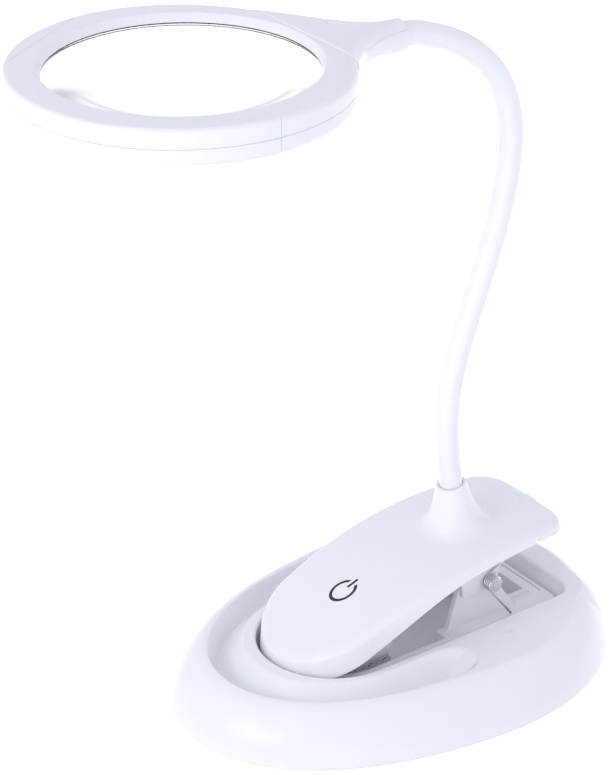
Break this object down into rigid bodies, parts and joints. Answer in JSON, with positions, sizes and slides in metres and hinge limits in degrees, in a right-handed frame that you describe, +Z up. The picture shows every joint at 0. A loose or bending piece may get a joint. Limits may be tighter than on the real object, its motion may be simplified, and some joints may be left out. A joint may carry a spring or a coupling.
{
  "type": "magnifying lamp",
  "caption": "Ring-lit magnifying lens on a flexible neck that rises from a spring clip; the clip rests in an egg-shaped weighted base.",
  "frame": {"origin": "middle of the underside of the base's non-slip pad, on the table", "axes": "+Z up, -Y towards the front, over which the lens hangs, and +X to the right when looking along +Y from the front"},
  "size_m": [0.1668, 0.2932, 0.325],
  "materials": {
    "white_shell": "glossy white moulded ABS",
    "white_hidden": "satin white moulded ABS",
    "sleeve": "satin white silicone sleeve",
    "steel": "bright steel",
    "pad_rubber": "matt rubber",
    "black_print": "glossy black",
    "cell": "satin wrap",
    "lead": "matt insulation",
    "board": "varnished board",
    "board_white": "white varnished board",
    "copper": "bright copper foil",
    "diode": "clear yellow lens",
    "light_pipe": "milky clear plastic",
    "diffuser": "milky plastic",
    "lens_glass": "polished clear lens"
  },
  "bodies": {
    "base": {"base_top_shell": "white_shell", "base_bottom_plate": "white_hidden", "base_ballast": "steel", "non_slip_pad": "pad_rubber", "base_screws": "steel"},
    "clip_lower": {"lower_jaw": "white_hidden", "lower_jaw_pad": "pad_rubber", "hinge_pin": "steel", "pin_clips": "steel", "torsion_springs": "steel"},
    "clip_upper": {"clip_cover": "white_shell", "clip_tray": "white_hidden", "upper_jaw_pad": "pad_rubber", "battery": "cell", "battery_leads": "lead", "control_board": "board", "touch_electrode": "copper", "power_symbol": "black_print", "charge_socket": "steel", "charge_lights": "light_pipe", "boss_nut": "steel", "tray_screws": "steel", "neck_link_01": "sleeve"},
    "neck_02": {"neck_link_02": "sleeve"},
    "neck_03": {"neck_link_03": "sleeve"},
    "neck_04": {"neck_link_04": "sleeve"},
    "neck_05": {"neck_link_05": "sleeve"},
    "neck_06": {"neck_link_06": "sleeve"},
    "neck_07": {"neck_link_07": "sleeve"},
    "neck_08": {"neck_link_08": "sleeve"},
    "neck_09": {"neck_link_09": "sleeve"},
    "neck_10": {"neck_link_10": "sleeve"},
    "neck_11": {"neck_link_11": "sleeve"},
    "head": {"head_upper_ring": "white_shell", "head_lower_ring": "white_shell", "neck_cover_upper": "white_shell", "neck_cover_lower": "white_shell", "rim_cap_left_upper": "white_shell", "rim_cap_left_lower": "white_shell", "rim_cap_right_upper": "white_shell", "rim_cap_right_lower": "white_shell", "lens": "lens_glass", "lens_gasket": "pad_rubber", "led_board": "board_white", "leds": "diode", "diffuser_ring": "diffuser", "neck_clamp": "steel", "head_screws": "steel", "neck_link_12": "sleeve"}
  },
  "joints": [
    {"name": "clip_lift", "type": "slide", "parent": "base", "child": "clip_lower", "axis": [0, 0, 1], "range_m": [0, 0.06]},
    {"name": "clip_open", "type": "hinge", "parent": "clip_lower", "child": "clip_upper", "pos_m": [0, 0.039, 0.042], "axis": [-1, 0, 0], "range_deg": [0, 25], "deforming": ["torsion_springs"]},
    {"name": "neck_low", "type": "hinge", "parent": "clip_upper", "child": "neck_02", "pos_m": [0, 0.03267, 0.10622], "axis": [1, 0, 0], "range_deg": [-10, 10]},
    {"name": "neck_sway", "type": "hinge", "parent": "neck_02", "child": "neck_03", "pos_m": [0, 0.03267, 0.12858], "axis": [0, 0.9954, -0.0958], "range_deg": [-7, 7]},
    {"name": "neck_low_2", "type": "hinge", "parent": "neck_03", "child": "neck_04", "pos_m": [0, 0.03704, 0.15052], "axis": [1, 0, 0], "range_deg": [-10, 10]},
    {"name": "neck_sway_2", "type": "hinge", "parent": "neck_04", "child": "neck_05", "pos_m": [0, 0.04433, 0.17169], "axis": [0, 0.9336, -0.3584], "range_deg": [-7, 7]},
    {"name": "neck_low_3", "type": "hinge", "parent": "neck_05", "child": "neck_06", "pos_m": [0, 0.05208, 0.19271], "axis": [1, 0, 0], "range_deg": [-10, 10]},
    {"name": "neck_sway_3", "type": "hinge", "parent": "neck_06", "child": "neck_07", "pos_m": [0, 0.05881, 0.21407], "axis": [0, 0.9636, -0.2672], "range_deg": [-7, 7]},
    {"name": "neck_high", "type": "hinge", "parent": "neck_07", "child": "neck_08", "pos_m": [0, 0.06337, 0.23598], "axis": [1, 0, 0], "range_deg": [-10, 10]},
    {"name": "neck_sway_4", "type": "hinge", "parent": "neck_08", "child": "neck_09", "pos_m": [0, 0.06376, 0.25832], "axis": [0, 0.9945, 0.1045], "range_deg": [-7, 7]},
    {"name": "neck_high_2", "type": "hinge", "parent": "neck_09", "child": "neck_10", "pos_m": [0, 0.05671, 0.2794], "axis": [1, 0, 0], "range_deg": [-10, 10]},
    {"name": "neck_sway_5", "type": "hinge", "parent": "neck_10", "child": "neck_11", "pos_m": [0, 0.04181, 0.29594], "axis": [0, 0.6018, 0.7986], "range_deg": [-7, 7]},
    {"name": "neck_high_3", "type": "hinge", "parent": "neck_11", "child": "head", "pos_m": [0, 0.02237, 0.30694], "axis": [1, 0, 0], "range_deg": [-10, 10]}
  ],
  "couplings": [
    {"joint": "neck_low_2", "follows": "neck_low", "ratio": 1},
    {"joint": "neck_sway_2", "follows": "neck_sway", "ratio": 1},
    {"joint": "neck_low_3", "follows": "neck_low", "ratio": 1},
    {"joint": "neck_sway_3", "follows": "neck_sway", "ratio": 1},
    {"joint": "neck_sway_4", "follows": "neck_sway", "ratio": 1},
    {"joint": "neck_high_2", "follows": "neck_high", "ratio": 1},
    {"joint": "neck_sway_5", "follows": "neck_sway", "ratio": 1},
    {"joint": "neck_high_3", "follows": "neck_high", "ratio": 1}
  ]
}
